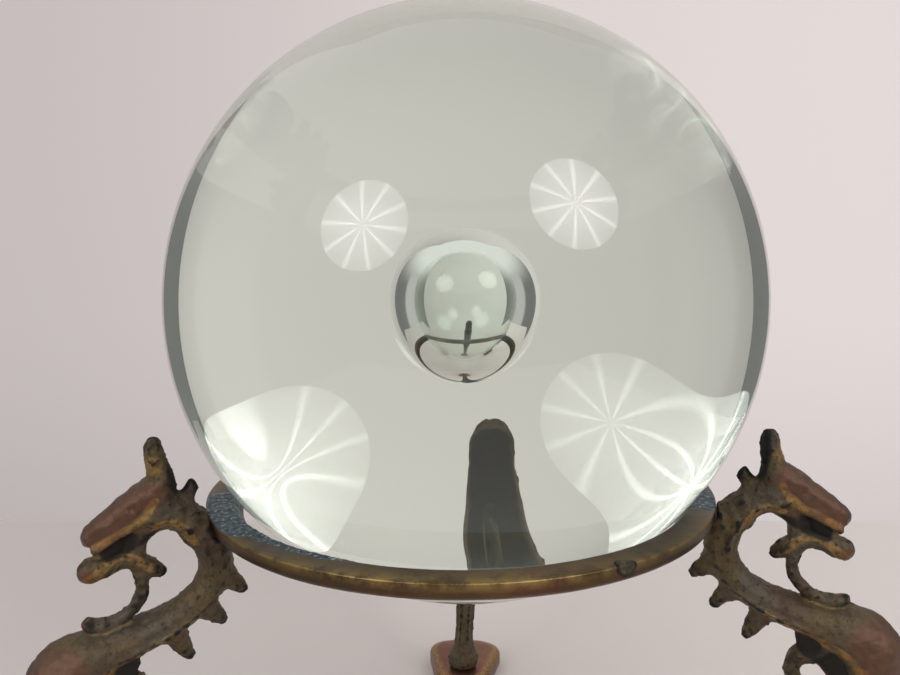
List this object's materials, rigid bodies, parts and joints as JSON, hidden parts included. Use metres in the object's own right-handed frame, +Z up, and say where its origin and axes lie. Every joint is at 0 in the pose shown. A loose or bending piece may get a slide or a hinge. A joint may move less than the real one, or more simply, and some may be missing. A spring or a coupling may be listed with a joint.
{
  "type": "crystal ball",
  "caption": "Clear glass sphere resting in a brass ring carried by cast dragon legs, each standing on a broad paddle foot.",
  "frame": {"origin": "on the table under the middle of the object's box", "axes": "+Z up through the ball; +Y towards the rear leg; the left and right legs face -Y, the viewer's side"},
  "size_m": [0.1958, 0.181, 0.23],
  "materials": {
    "crystal": "polished solid glass, faint grey-green",
    "ring_brass": "satin, aged olive-brown with a worn bright outer edge",
    "cast_brass": "sand-cast, pitted, dark in its recesses and rubbed red-brown on its high spots",
    "foot_brass": "smooth red-brown with rubbed golden edges",
    "rivet_brass": "dark and dull",
    "solder": "granular blue-grey soft solder",
    "screw_steel": "dull zinc grey"
  },
  "bodies": {
    "stand": {"support_ring": "ring_brass", "ring_rivet": "rivet_brass", "left_dragon_leg": "cast_brass", "right_dragon_leg": "cast_brass", "rear_dragon_leg": "cast_brass", "left_foot": "foot_brass", "right_foot": "foot_brass", "rear_foot": "foot_brass", "left_foot_screw": "screw_steel", "right_foot_screw": "screw_steel", "rear_foot_screw": "screw_steel", "left_leg_solder": "solder", "right_leg_solder": "solder", "rear_leg_solder": "solder"},
    "ball": {"crystal_ball": "crystal"}
  },
  "joints": [
    {"name": "ball_lift", "type": "slide", "parent": "stand", "child": "ball", "axis": [0, 0, 1], "range_m": [0, 0.08]}
  ]
}
